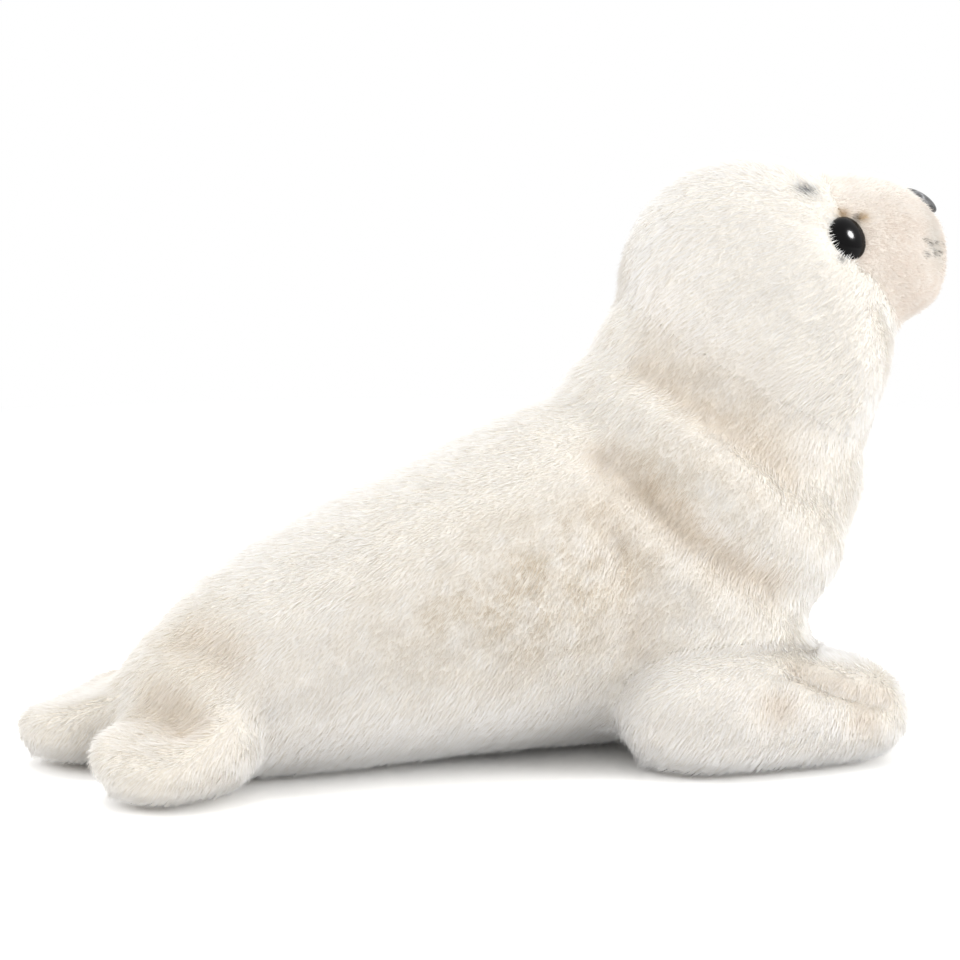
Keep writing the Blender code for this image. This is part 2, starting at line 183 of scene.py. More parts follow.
floor.data.materials.append(paper)

lamps = {
    "top_lamp": {"at": (-0.1, 0.2, 1.6), "wide": 1.2, "watts": 9.5},
    "tail_lamp": {"at": (-1.40, -0.40, 0.95), "wide": 0.9, "watts": 8.0},
    "front_lamp": {"at": (1.20, -0.95, 0.50), "wide": 0.8, "watts": 10.5},
    # this one lights gloss only
    "catchlight_lamp": {"at": (0.718, -0.464, 0.720), "wide": 0.32, "watts": 28.0},
}
for name, lamp in lamps.items():
    lampData = bpy.data.lights.new(name, "AREA")
    lampData.shape = "DISK"
    lampData.size = lamp["wide"]
    lampData.energy = lamp["watts"]
    lampPiece = bpy.data.objects.new(name, lampData)
    lampPiece.location = lamp["at"]
    lampPiece.visible_glossy = name == "catchlight_lamp"    # the real eye shows one small catchlight
    lampPiece.visible_diffuse = name != "catchlight_lamp"
    aim = studio["lampAim"] - Vector(lamp["at"])
    lampPiece.rotation_euler = aim.to_track_quat("-Z", "Y").to_euler()
    sceneHere.collection.objects.link(lampPiece)
print("stage: camera, floor and lamps are set")


# where the eyes and the nose sit; the pile is trimmed round them

eyes = {
    "right": {"at": (0.12287, -0.04837, 0.18834), "facing": (0.46789, -0.74878, 0.46947)},
    "left": {"at": (0.13755, 0.02068, 0.18834), "facing": (0.73200, 0.49374, 0.46947)},
    "sunk": 0.0032, "across": 0.0165, "dome": 0.0050, "flange": 0.0016, "shank": 0.0040, "long": 0.0110,
    "edge": 0.0003, "arcSteps": 12, "turnSteps": 48,
    "trimReach": 0.0150, "trimFade": 0.004,
    "hoodTrim": 0.25, "faceTrim": 0.35,       # how much shorter the pile is at the eye
}
nose = {
    "at": (0.16058, -0.02030, 0.19843), "facing": (0.54697, -0.11626, 0.82904),
    "long": 0.0140, "wide": 0.0170, "thick": 0.0056, "sunk": 0.0013,
    "curve": [(5.8, 5.1), (5.6, 4.2), (4.6, 3.1), (5.7, 2.0), (7.2, 1.2)],   # a nostril, mm across and up
    "stripe": 0.0006, "raised": 0.0003,
    "groove": 0.0006, "grooveDeep": 0.0004,
    "front": -0.0005,                         # stitches are drawn from here forward
    "trimReach": 0.0125, "trimFade": 0.003, "trim": 0.45,
}


# the stuffed cover, which carries the pile

stuffed = {
    # how far the backing lies under the solid's surface, and how tightly each compartment is filled
    "body": {"drawnIn": 0.0008, "fill": 0.75},
    "head": {"drawnIn": 0.0008, "fill": 0.8},
    "muzzle": {"drawnIn": -0.0002, "fill": 0.85},
    "front_flipper_right": {"drawnIn": 0.0004, "fill": 0.7},
    "front_flipper_left": {"drawnIn": 0.0004, "fill": 0.7},
    "hind_flipper_right": {"drawnIn": 0.0004, "fill": 0.7},
    "hind_flipper_left": {"drawnIn": 0.0004, "fill": 0.7},
}
cover = {
    "voxel": 0.0041, "pressure": 4.0, "frames": 20, "cap": 0.0012, "cloth": 0.0018, "lowest": 0.0014,
    "smoothRounds": 3, "depthRounds": 3,
    "throat": (0.125, -0.012, 0.112), "throatReach": 0.040, "throatRounds": 26,
}


def mergedCopy(nodeNames):
    bm = bmesh.new()
    for nodeName in nodeNames:
        bm.from_mesh(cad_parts[nodeName].data)
    bmesh.ops.remove_doubles(bm, verts=bm.verts, dist=mergeWithin)
    return bm


def nearestOf(trees, point):
    return min((tree.find_nearest(point) for tree in trees), key=lambda found: found[3])


def blurred(mesh, values, rounds):
    # values on the vertices, evened along the edges
    pairs = meshArray(mesh.edges, "vertices", len(mesh.edges), 2, np.int32)
    for _ in range(rounds):
        total = values.copy()
        shares = np.ones(len(values))
        for one, other in ((0, 1), (1, 0)):
            np.add.at(total, pairs[:, one], values[pairs[:, other]])
            np.add.at(shares, pairs[:, one], 1.0)
        values = total / (shares[:, None] if values.ndim > 1 else shares)
    return values


# folds and hollows of the stuffed cover, in mm on its right side; the left side has the same; each is carved in by its
# depth, and its last number is the amount of painted shade along it
folds = {
    "headFold": {"along": [(50.1, -27.6, 155.1), (63.1, -45.3, 142.9), (77.4, -52.8, 132.0), (93.6, -55.0, 123.8)],
                 "deep": 0.0016, "wide": 0.0065, "paintedShade": 0.12},
    "neckFold": {"along": [(48.2, -33.3, 141.9), (61.5, -49.4, 130.0), (76.2, -56.5, 119.0), (94.4, -59.4, 103.7)],
                 "deep": 0.0024, "wide": 0.0060, "paintedShade": 0.3},
    "shoulderFold": {"along": [(29.8, -46.9, 112.8), (43.4, -55.1, 99.7), (56.5, -59.4, 86.2),
                               (73.0, -60.7, 74.2), (88.3, -58.3, 64.6)],
                     "deep": 0.0036, "wide": 0.0060, "paintedShade": 0.4},
    "flankFold": {"along": [(25.4, -58.7, 95.8), (34.1, -63.6, 78.6), (38.4, -64.3, 64.2), (38.5, -61.2, 45.7)],
                  "deep": 0.0014, "wide": 0.0070, "paintedShade": 0.15},
    "rumpHollow": {"along": [(-115.2, -29.9, 52.0), (-111.0, -38.6, 50.7), (-106.4, -45.2, 49.0)],
                   "deep": 0.0030, "wide": 0.0090, "paintedShade": 0.3},
    "tailHollow": {"along": [(-129.7, -34.7, 32.0), (-124.4, -43.4, 29.4), (-120.1, -56.4, 26.5)],
                   "deep": 0.0035, "wide": 0.0070, "paintedShade": 0.4},
    "wristFold": {"along": [(95.5, -72.1, 38.1), (106.4, -73.4, 33.4), (117.1, -75.3, 29.5), (129.1, -74.2, 26.3)],
                  "deep": 0.0032, "wide": 0.0050, "paintedShade": 0.35},
    "throatSwell": {"along": [(128.0, -10.0, 120.0), (124.0, -10.0, 96.0)],
                    "deep": -0.0017, "wide": 0.0200, "paintedShade": 0.0},
    "wristDimple": {"along": [(82.0, -85.7, 26.4), (83.8, -85.7, 25.8)], "deep": 0.0022, "wide": 0.0060, "paintedShade": 0.4},
    "tipDimple": {"along": [(116.4, -81.5, 17.8), (118.4, -81.5, 17.2)], "deep": 0.0020, "wide": 0.0060, "paintedShade": 0.4},
}


def farFromFold(places, fold, side):
    # how far each place is from the fold's line, laid on the solids
    line = []
    for along, across, up in fold["along"]:
        spot = Vector((along, across if side < 0 else 2.0 * midPlane - across, up)) * mm
        line.append(np.array(nearestOf([solids[name] for name in stuffed], spot)[0]))
    far = np.full(len(places), 1.0)
    for start, end in zip(line, line[1:]):
        step = end - start
        share = np.clip((places - start) @ step / (step @ step), 0.0, 1.0)
        far = np.minimum(far, np.linalg.norm(places - start - share[:, None] * step, axis=1))
    return far


def ownersOf(mesh):
    # the number of the compartment that each vertex lies nearest to
    trees = [solids[name] for name in stuffed]
    return np.array([min(range(len(trees)), key=lambda key: trees[key].find_nearest(vert.co)[3])
                     for vert in mesh.vertices], dtype=np.int32)


def drawIn(piece):
    # the backing lies under the pile, so the form is drawn in a little before it is stuffed
    count = len(piece.data.vertices)
    depths = np.array([settings["drawnIn"] for settings in stuffed.values()])
    depth = blurred(piece.data, depths[ownersOf(piece.data)], cover["depthRounds"])
    places = meshArray(piece.data.vertices, "co", count, 3)
    normals = meshArray(piece.data.vertices, "normal", count, 3)
    for fold in folds.values():
        for side in (-1, 1):
            depth += fold["deep"] * np.exp(-(farFromFold(places, fold, side) / fold["wide"]) ** 2)
    places -= normals * depth[:, None].astype(np.float32)
    places[:, 2] = np.maximum(places[:, 2], cover["lowest"])
    piece.data.vertices.foreach_set("co", places.ravel())
    piece.data.update()


def stuff(piece):
    # stuffing swells the cover like air, and no point moves further than the cap
    count = len(piece.data.vertices)
    before = meshArray(piece.data.vertices, "co", count, 3)
    cloth = piece.modifiers.new("stuffing", "CLOTH")
    cloth.settings.use_pressure = True
    cloth.settings.uniform_pressure_force = cover["pressure"]
    cloth.settings.effector_weights.gravity = 0.0
    cloth.point_cache.frame_start = 1
    cloth.point_cache.frame_end = cover["frames"]
    for step in range(1, cover["frames"] + 1):
        sceneHere.frame_set(step)
    bakeModifiers(piece)
    sceneHere.frame_set(1)
    after = meshArray(piece.data.vertices, "co", count, 3)
    move = after - before
    length = np.linalg.norm(move, axis=1, keepdims=True)
    after = before + move * np.minimum(1.0, cover["cap"] / (length + 1e-9))
    after[:, 2] = np.maximum(after[:, 2], cover["lowest"])
    piece.data.vertices.foreach_set("co", after.astype(np.float32).ravel())
    piece.data.update()


solids = {}
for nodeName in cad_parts:
    bm = mergedCopy([nodeName])
    solids[nodeName] = BVHTree.FromBMesh(bm)
    bm.free()

# every compartment in one closed form, because the plush runs over the seams without a gap
whole = newPiece("whole_cover", meshFrom("whole_cover", mergedCopy(stuffed)))
even = whole.modifiers.new("evenCloth", "REMESH")
even.mode = "VOXEL"
even.voxel_size = cover["voxel"]
bakeModifiers(whole)

bm = bmesh.new()
bm.from_mesh(whole.data)
bm.verts.ensure_lookup_table()
left = set(bm.verts)
largest = set()
while left:       # closed pockets between the compartments are left out
    found = {left.pop()}
    edge = set(found)
    while edge:
        edge = {e.other_vert(vert) for vert in edge for e in vert.link_edges} & left
        found |= edge
        left -= edge
    if len(found) > len(largest):
        largest = found
bmesh.ops.delete(bm, geom=[vert for vert in bm.verts if vert not in largest], context="VERTS")
smoothOver(bm, bm.verts, cover["smoothRounds"])
# the cover is drawn straight from the chin to the chest
throat = [vert for vert in bm.verts if (vert.co - Vector(cover["throat"])).length < cover["throatReach"]]
smoothOver(bm, throat, cover["throatRounds"])
bm.to_mesh(whole.data)
bm.free()
drawIn(whole)
stuff(whole)
finer = whole.modifiers.new("finer", "SUBSURF")
finer.levels = finer.render_levels = 1
bakeModifiers(whole)
print("stage: the cover is stuffed,", len(whole.data.polygons), "faces")


# how the pile is laid: the way it leans on each part, and where it is brushed and the parted colour paints shade, as
# ovals seen from the side
leans = {"body": (-0.6, 0.0, -0.8), "head": (-0.85, 0.0, -0.5), "muzzle": (0.8, 0.0, -0.25)}
brushedShadeOvals = {
    "flank": {"at": (-0.004, 0.083), "half": (0.060, 0.044), "strength": 0.85},
    "neck": {"at": (0.072, 0.118), "half": (0.030, 0.030), "strength": 0.40},
}
nap = {
    "steepest": 0.35,                 # a lean more square to the surface than this isn't made longer
    "towardsEye": 0.75,
    "muzzleRounds": 4, "headRounds": 8, "wideRounds": 16, "skinRounds": 5,     # how softly each part's edge fades
    "facesDown": -0.55, "clearFrom": 0.0018, "clearOver": 0.003,     # no tufts where the belly lies on the floor
    "brushedShadeAll": 0.15, "brushedMuzzle": 0.7, "muzzleTop": 0.206, "muzzleFade": 0.014,
}


def setLie(mesh):
    # the way the pile leans: down and back on the body, away from the eyes on the muzzle; and where it is trimmed
    count = len(mesh.vertices)
    normals = meshArray(mesh.vertices, "normal", count, 3)
    places = meshArray(mesh.vertices, "co", count, 3)
    owner = ownersOf(mesh)
    names = list(stuffed)
    isMuzzle = (owner == names.index("muzzle")).astype(np.float64)
    isHead = (owner == names.index("head")).astype(np.float64)
    onMuzzle = blurred(mesh, isMuzzle, nap["muzzleRounds"])[:, None]
    onHead = blurred(mesh, isHead, nap["headRounds"])[:, None]
    ways = np.array(leans["body"]) * (1.0 - onMuzzle - onHead) + np.array(leans["head"]) * onHead
    ways += np.array(leans["muzzle"]) * onMuzzle
    ways -= normals * (ways * normals).sum(axis=1, keepdims=True)
    ways /= np.maximum(np.linalg.norm(ways, axis=1, keepdims=True), nap["steepest"])
    trim = np.ones(count)
    for side in ("right", "left"):
        toEye = np.array(eyes[side]["at"]) - places
        near = np.linalg.norm(toEye, axis=1, keepdims=True)
        close = np.clip((eyes["trimReach"] - near) / eyes["trimFade"], 0.0, 1.0)
        over = close * (1.0 - onMuzzle)      # the hood's pile lies a little over the eye's edge
        ways = ways * (1.0 - over) + toEye / (near + 1e-9) * nap["towardsEye"] * over
        trim -= (eyes["hoodTrim"] * over + eyes["faceTrim"] * close * onMuzzle)[:, 0]
    toNose = np.linalg.norm(places - np.array(nose["at"]), axis=1)
    trim -= nose["trim"] * np.clip((nose["trimReach"] - toNose) / nose["trimFade"], 0.0, 1.0)
    ways -= normals * (ways * normals).sum(axis=1, keepdims=True)
    clear = np.clip((places[:, 2] - nap["clearFrom"]) / nap["clearOver"], 0.0, 1.0)
    clear = np.where(normals[:, 2] < nap["facesDown"], clear, 1.0)
    out = blurred(mesh, normals.astype(np.float64), nap["skinRounds"])
    out /= np.linalg.norm(out, axis=1, keepdims=True) + 1e-9
    # painted shade: the parted colour goes where the surface faces sideways, less on tops and undersides, and most in
    # the middle of the flank and on the low neck
    upright = 1.0 - np.clip(np.abs(out[:, 2]) * 1.5 - 0.35, 0.0, 1.0)
    brushed = nap["brushedShadeAll"]
    for oval in brushedShadeOvals.values():
        aside = (places[:, 0] - oval["at"][0]) / oval["half"][0]
        above = (places[:, 2] - oval["at"][1]) / oval["half"][1]
        brushed = brushed + oval["strength"] * np.exp(-aside ** 2 - above ** 2)
    brushed = upright * np.minimum(1.0, brushed)
    low = np.clip((nap["muzzleTop"] - places[:, 2]) / nap["muzzleFade"], 0.1, 1.0)
    brushed = np.maximum(brushed, nap["brushedMuzzle"] * onMuzzle[:, 0] * low)
    layers = (
        ("brushed", "FLOAT", "value", brushed),
        ("wideMuzzle", "FLOAT", "value", blurred(mesh, isMuzzle, nap["wideRounds"])),
        ("lie", "FLOAT_VECTOR", "vector", ways),
        ("skinWay", "FLOAT_VECTOR", "vector", out),
        ("trim", "FLOAT", "value", trim),
        ("openness", "FLOAT", "value", clear),
    )
    for name, kind, field, values in layers:
        layer = mesh.attributes.new(name, kind, "POINT")
        layer.data.foreach_set(field, np.asarray(values, dtype=np.float32).ravel())
    return owner


def goesWith(face, mine):
    # a face goes with most of its corners, and a tie goes to the first of its compartments
    owners = [owner[vert.index] for vert in face.verts]
    balance = owners.count(mine) * 2 - len(owners)
    return balance > 0 or (balance == 0 and mine == min(owners))


owner = setLie(whole.data)
panels = {}
for mine, nodeName in enumerate(stuffed):
    # the faces of the cover that lie on this compartment
    bm = bmesh.new()
    bm.from_mesh(whole.data)
    bm.verts.ensure_lookup_table()
    bmesh.ops.delete(bm, geom=[face for face in bm.faces if not goesWith(face, mine)], context="FACES")
    panels[nodeName] = newPiece(nodeName + "_panel", meshFrom(nodeName + "_panel", bm))
bpy.data.objects.remove(whole)

skins = {}
for nodeName, settings in stuffed.items():
    # knitted backing with its foam lining, as thick as the cloth, closed along its sewn edge
    skin = newPiece(nodeName + "_skin", panels[nodeName].data.copy())
    thick = skin.modifiers.new("cloth", "SOLIDIFY")
    thick.thickness = cover["cloth"]
    thick.offset = -1.0
    bakeModifiers(skin)
    skin.data.shade_smooth()
    skins[nodeName] = skin
    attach(skin, "root")
    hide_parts(nodeName)
print("stage: skins are made")


# pile

piles = {
    # a region of a skin along X, how many tufts stand on it, how long and thick they are in metres
    "body_pile_rear": {"on": "body", "from": -0.2, "to": -0.047, "tufts": 28700, "seed": 11},
    "body_pile_middle": {"on": "body", "from": -0.047, "to": 0.036, "tufts": 39800, "seed": 12},
    "body_pile_front": {"on": "body", "from": 0.036, "to": 0.2, "tufts": 39800, "seed": 13},
    "head_pile": {"on": "head", "tufts": 25000, "seed": 14},
    "front_flipper_right_pile": {"on": "front_flipper_right", "tufts": 13900, "seed": 15, "long": 0.0050},
    "front_flipper_left_pile": {"on": "front_flipper_left", "tufts": 13900, "seed": 16, "long": 0.0050},
    "hind_flipper_right_pile": {"on": "hind_flipper_right", "tufts": 5200, "seed": 17, "long": 0.0048},
    "hind_flipper_left_pile": {"on": "hind_flipper_left", "tufts": 6000, "seed": 18, "long": 0.0048},
    "muzzle_pile": {"on": "muzzle", "tufts": 15700, "seed": 19, "long": 0.0030, "thick": 0.00032,
                    "lie": 1.8, "clump": 0.45, "loose": 0.45, "softness": 0.78},
}
usualPile = {
    "from": -1.0, "to": 1.0, "long": 0.0050, "thick": 0.00034, "lie": 2.0, "clump": 0.45, "loose": 0.24,
    "softness": 0.95, "clumpSize": 0.009, "patch": 0.006,
    "shortest": 0.65, "longest": 1.15,        # shares of the length that tufts are cut to
    "patchShort": 0.82, "patchLong": 1.12,
    "crushed": 0.8,                           # share of the length left where the belly meets the floor
}


def tuftMesh(name, settings):
    # a thin three-sided tuft that ends in a point
    bm = bmesh.new()
    bmesh.ops.create_cone(bm, cap_ends=True, segments=3, radius1=0.5, radius2=0.0, depth=1.0)
    bmesh.ops.remove_doubles(bm, verts=bm.verts, dist=0.0001)
    bmesh.ops.translate(bm, vec=(0.0, 0.0, 0.5), verts=bm.verts)
    tipward = bm.verts.layers.float.new("tipward")
    for vert in bm.verts:
        vert[tipward] = vert.co.z
    bmesh.ops.scale(bm, vec=(settings["thick"], settings["thick"], settings["long"]), verts=bm.verts)
    return meshFrom(name, bm)


def skinArea(skin, low, high):
    area = 0.0
    openness = skin.data.attributes["openness"].data
    for face in skin.data.polygons:
        if low <= face.center.x < high:
            area += face.area * sum(openness[i].value for i in face.vertices) / len(face.vertices)
    return area


def scatterTree(name, tuft, settings, density):
    tree = bpy.data.node_groups.new(name, "GeometryNodeTree")
    tree.interface.new_socket("Geometry", in_out="INPUT", socket_type="NodeSocketGeometry")
    tree.interface.new_socket("Geometry", in_out="OUTPUT", socket_type="NodeSocketGeometry")
    start = addNode(tree, "NodeGroupInput")
    place = addNode(tree, "GeometryNodeInputPosition")
    parts = addNode(tree, "ShaderNodeSeparateXYZ", {0: place.outputs[0]})
    after = addNode(tree, "FunctionNodeCompare", {0: parts.outputs["X"], 1: settings["from"]},
                    data_type="FLOAT", operation="GREATER_EQUAL")
    before = addNode(tree, "FunctionNodeCompare", {0: parts.outputs["X"], 1: settings["to"]},
                     data_type="FLOAT", operation="LESS_THAN")
    within = addNode(tree, "FunctionNodeBooleanMath", {0: after.outputs[0], 1: before.outputs[0]}, operation="AND")
    openness = addNode(tree, "GeometryNodeInputNamedAttribute", {"Name": "openness"}, data_type="FLOAT")
    sparse = addNode(tree, "ShaderNodeMath", {0: openness.outputs["Attribute"], 1: density}, operation="MULTIPLY")
    points = addNode(tree, "GeometryNodeDistributePointsOnFaces",
                     {"Mesh": start.outputs[0], "Selection": within.outputs[0],
                      "Density": sparse.outputs[0], "Seed": settings["seed"]})
    lie = addNode(tree, "GeometryNodeInputNamedAttribute", {"Name": "lie"}, data_type="FLOAT_VECTOR")
    leaning = addNode(tree, "ShaderNodeVectorMath", {0: lie.outputs["Attribute"],
                      "Scale": settings["lie"]}, operation="SCALE")
    clumps = addNode(tree, "ShaderNodeTexNoise", {"Scale": 1.0 / settings["clumpSize"], "Detail": 1.0},
                     noise_dimensions="3D")
    centred = addNode(tree, "ShaderNodeVectorMath", {0: clumps.outputs["Color"],
                      1: (0.5, 0.5, 0.5)}, operation="SUBTRACT")
    clumped = addNode(tree, "ShaderNodeVectorMath", {0: centred.outputs[0],
                      "Scale": settings["clump"] * 2.0}, operation="SCALE")
    loose = addNode(tree, "FunctionNodeRandomValue", {"Min": (-settings["loose"],) * 3,
                    "Max": (settings["loose"],) * 3, "Seed": settings["seed"] + 100}, data_type="FLOAT_VECTOR")
    way = points.outputs["Normal"]
    for pull in (leaning, clumped, loose):
        way = addNode(tree, "ShaderNodeVectorMath", {0: way, 1: pull.outputs[0]}, operation="ADD").outputs[0]
    aim = addNode(tree, "FunctionNodeAlignRotationToVector", {"Vector": way}, axis="Z")
    length = addNode(tree, "FunctionNodeRandomValue", {2: settings["shortest"], 3: settings["longest"],
                     "Seed": settings["seed"] + 200}, data_type="FLOAT")
    crushed = addNode(tree, "ShaderNodeMapRange", {"Value": openness.outputs["Attribute"],
                      "To Min": settings["crushed"], "To Max": 1.0})
    trim = addNode(tree, "GeometryNodeInputNamedAttribute", {"Name": "trim"}, data_type="FLOAT")
    patches = addNode(tree, "ShaderNodeTexNoise", {"Scale": 1.0 / settings["patch"], "Detail": 2.0},
                      noise_dimensions="3D")
    uneven = addNode(tree, "ShaderNodeMapRange", {"Value": patches.outputs["Fac"], "From Min": 0.35, "From Max": 0.65,
                     "To Min": settings["patchShort"], "To Max": settings["patchLong"]})
    longHere = length.outputs[1]
    for share in (crushed.outputs[0], trim.outputs["Attribute"], uneven.outputs[0]):
        longHere = addNode(tree, "ShaderNodeMath", {0: longHere, 1: share}, operation="MULTIPLY").outputs[0]
    size = addNode(tree, "ShaderNodeCombineXYZ", {"X": 1.0, "Y": 1.0, "Z": longHere})
    shade = addNode(tree, "FunctionNodeRandomValue", {2: 0.0, 3: 1.0, "Seed": settings["seed"] + 300},
                    data_type="FLOAT")
    shaded = addNode(tree, "GeometryNodeStoreNamedAttribute", {"Geometry": points.outputs["Points"],
                     "Name": "shade", "Value": shade.outputs[1]}, data_type="FLOAT", domain="POINT")
    source = addNode(tree, "GeometryNodeObjectInfo", {"Object": tuft})
    tufts = addNode(tree, "GeometryNodeInstanceOnPoints", {"Points": shaded.outputs[0],
                    "Instance": source.outputs["Geometry"], "Rotation": aim.outputs[0], "Scale": size.outputs[0]})
    real = addNode(tree, "GeometryNodeRealizeInstances", {"Geometry": tufts.outputs[0]})
    addNode(tree, "NodeGroupOutput", {0: real.outputs[0]})
    return tree


def pressOnFloor(mesh, height=0.0006, give=0.04):
    # tips that would reach through the floor lie along it
    places = meshArray(mesh.vertices, "co", len(mesh.vertices), 3)
    low = places[:, 2]
    places[:, 2] = np.where(low < height, height + (low - height) * give, low)
    mesh.vertices.foreach_set("co", places.ravel())
    mesh.update()


def softenShading(mesh, share, steep=1.3, base=0.45):
    # fine fibres catch the light as the cover below them does, so a tuft is shaded mostly by the skin's normal
    corners = meshArray(mesh.loops, "vertex_index", len(mesh.loops), 1, np.int32)
    ways = meshArray(mesh.attributes["skinWay"].data, "vector", len(mesh.vertices), 3)[corners]
    faceSizes = meshArray(mesh.polygons, "loop_total", len(mesh.polygons), 1, np.int32)
    own = np.repeat(meshArray(mesh.polygons, "normal", len(mesh.polygons), 3), faceSizes, axis=0)
    # undersides keep their own
    outward = np.clip((ways * own).sum(axis=1, keepdims=True) * steep + base, 0.0, 1.0)
    mixed = ways * share * outward + own * (1.0 - share * outward)
    mixed /= np.linalg.norm(mixed, axis=1, keepdims=True) + 1e-9
    mesh.normals_split_custom_set(mixed)


# marks on the face, airbrushed on or short dark strands, in mm in the head's own frame; each is on both sides
headFrame = Matrix.Translation((0.10037, -0.0075, 0.0)) @ Matrix.Rotation(math.radians(-12.0), 4, "Z")
marks = {
    "browCore": {"on": ["head"], "at": (13.7, 24.4, 204.1), "radius": 2.3, "colour": "#4C4D52", "strength": 1.0},
    "browHalo": {"on": ["head"], "at": (14.2, 23.9, 204.1), "radius": 3.6, "colour": "#9C9DA1", "strength": 0.6},
    "browStroke": {"on": ["head"], "at": (18.0, 19.6, 204.8), "radius": 1.7, "colour": "#BFC0C1", "strength": 0.35},
    "lidSmear": {"on": ["head", "muzzle"], "at": (27.4, 30.0, 195.4), "radius": 2.6,
                 "colour": "#A98A5A", "strength": 0.85},
    "lashRoot": {"on": ["muzzle"], "at": (32.8, 31.2, 193.9), "radius": 1.5, "colour": "#2A1E0C", "strength": 1.0},
    "lashSmear": {"on": ["muzzle"], "at": (35.0, 30.9, 194.3), "radius": 2.0,
                  "colour": "#B0925F", "strength": 0.75},
    "lashLow": {"on": ["head"], "at": (25.6, 41.5, 180.9), "radius": 1.7, "colour": "#4A4A50", "strength": 0.85},
    "brushMiddle": {"on": ["muzzle"], "at": (64.5, 18.0, 185.0), "radius": 6.5, "colour": "#C4C7C5", "strength": 0.55},
    "brushTop": {"on": ["muzzle"], "at": (62.5, 14.5, 192.0), "radius": 4.5, "colour": "#CFD2D1", "strength": 0.45},
    "brushLow": {"on": ["muzzle"], "at": (65.2, 17.5, 177.5), "radius": 5.0, "colour": "#D0D3D0", "strength": 0.4},
    "dash1": {"on": ["muzzle"], "at": (60.7, 22.3, 183.4), "radius": 1.09, "colour": "#3F3A30", "strength": 1.0},
    "dash2": {"on": ["muzzle"], "at": (63.8, 19.1, 183.3), "radius": 0.94, "colour": "#4F4B44", "strength": 1.0},
    "dash3": {"on": ["muzzle"], "at": (68.0, 12.7, 182.3), "radius": 0.94, "colour": "#55524C", "strength": 1.0},
    "dash4": {"on": ["muzzle"], "at": (63.1, 21.0, 180.2), "radius": 1.23, "colour": "#35301F", "strength": 1.0},
    "dash5": {"on": ["muzzle"], "at": (66.0, 17.4, 179.9), "radius": 1.01, "colour": "#4F4B40", "strength": 1.0},
    "dash6": {"on": ["muzzle"], "at": (59.0, 25.0, 179.9), "radius": 0.94, "colour": "#5A564C", "strength": 1.0},
    "dash7": {"on": ["muzzle"], "at": (58.4, 23.8, 184.8), "radius": 0.87, "colour": "#7E7A70", "strength": 1.0},
}


# dyes, and the painted shade along the folds, over wide areas; each fades in from a place, over a distance, in metres
dyesAndShade = {
    "tail": {"colour": "#F0EADF", "strength": 0.3, "from": -0.090, "over": 0.030},      # warmer
    "brow": {"colour": "#ECE9E6", "from": 0.186, "over": 0.010},        # cream, fading to the hood's white
    "browTop": {"strength": 0.65, "from": 0.196, "over": 0.008},
    "fold": {"colour": "#E9D9C4", "spread": 1.1},       # painted shade along each fold, warmer and darker than the pile
    "markDeep": 0.006,        # a mark reaches this far into the pile
}


def fadeIn(values, area):
    return np.clip((values - area["from"]) / area["over"], 0.0, 1.0)


def blendDyeAndShade(dye, colour, weight):
    return dye * (1.0 - weight[:, None]) + np.array(linearColour(colour)[:3]) * weight[:, None]


def dyeAndShadeMesh(mesh, nodeName, tuftSize=1):
    # a colour that the pile's own colour is multiplied by, carrying the marks and the painted shade along the folds; a
    # tuft takes one colour, from where it shows
    count = len(mesh.vertices)
    places = meshArray(mesh.vertices, "co", count, 3)
    if tuftSize > 1:
        tipward = 0.1 + meshArray(mesh.attributes["tipward"].data, "value", count, 1)
        weighted = (places * tipward[:, None]).reshape(-1, tuftSize, 3).sum(axis=1)
        weighted /= tipward.reshape(-1, tuftSize).sum(axis=1)[:, None]
        places = np.repeat(weighted, tuftSize, axis=0)
    dye = np.ones((count, 3))
    tail = dyesAndShade["tail"]
    rearward = np.clip((tail["from"] - places[:, 0]) / tail["over"], 0.0, 1.0)
    dye = blendDyeAndShade(dye, tail["colour"], tail["strength"] * rearward)
    if nodeName == "muzzle":
        well = np.clip((meshArray(mesh.attributes["wideMuzzle"].data, "value", count, 1) - 0.5) / 0.5, 0.0, 1.0)
        high = fadeIn(places[:, 2], dyesAndShade["brow"])
        top = fadeIn(places[:, 2], dyesAndShade["browTop"])
        cream = (1.0 - (1.0 - well) * high) * (1.0 - dyesAndShade["browTop"]["strength"] * top)
        dye = blendDyeAndShade(dye, dyesAndShade["brow"]["colour"], cream)
    # painted shade: each fold is darkened with a warm beige along its line
    for fold in folds.values():
        for side in (-1, 1):
            far = farFromFold(places, fold, side) / (fold["wide"] * dyesAndShade["fold"]["spread"])
            dye = blendDyeAndShade(dye, dyesAndShade["fold"]["colour"], fold["paintedShade"] * np.exp(-far ** 2))
    for mark in marks.values():
        if nodeName not in mark["on"]:
            continue
        for side in (-1.0, 1.0):
            spot = headFrame @ (Vector((mark["at"][0], mark["at"][1] * side, mark["at"][2])) * mm)
            spot, way = nearestOf([solids[name] for name in mark["on"]], spot)[:2]
            away = places - np.array(spot)
            deep = away @ np.array(way)
            far = np.linalg.norm(away - deep[:, None] * np.array(way), axis=1)
            far += np.maximum(np.abs(deep) - dyesAndShade["markDeep"], 0.0)
            dye = blendDyeAndShade(dye, mark["colour"], mark["strength"] * np.exp(-(far * 1000.0 / mark["radius"]) ** 2))
    layer = mesh.attributes.new("dye", "FLOAT_COLOR", "POINT")
    layer.data.foreach_set("color", np.column_stack([dye, np.ones(count)]).astype(np.float32).ravel())


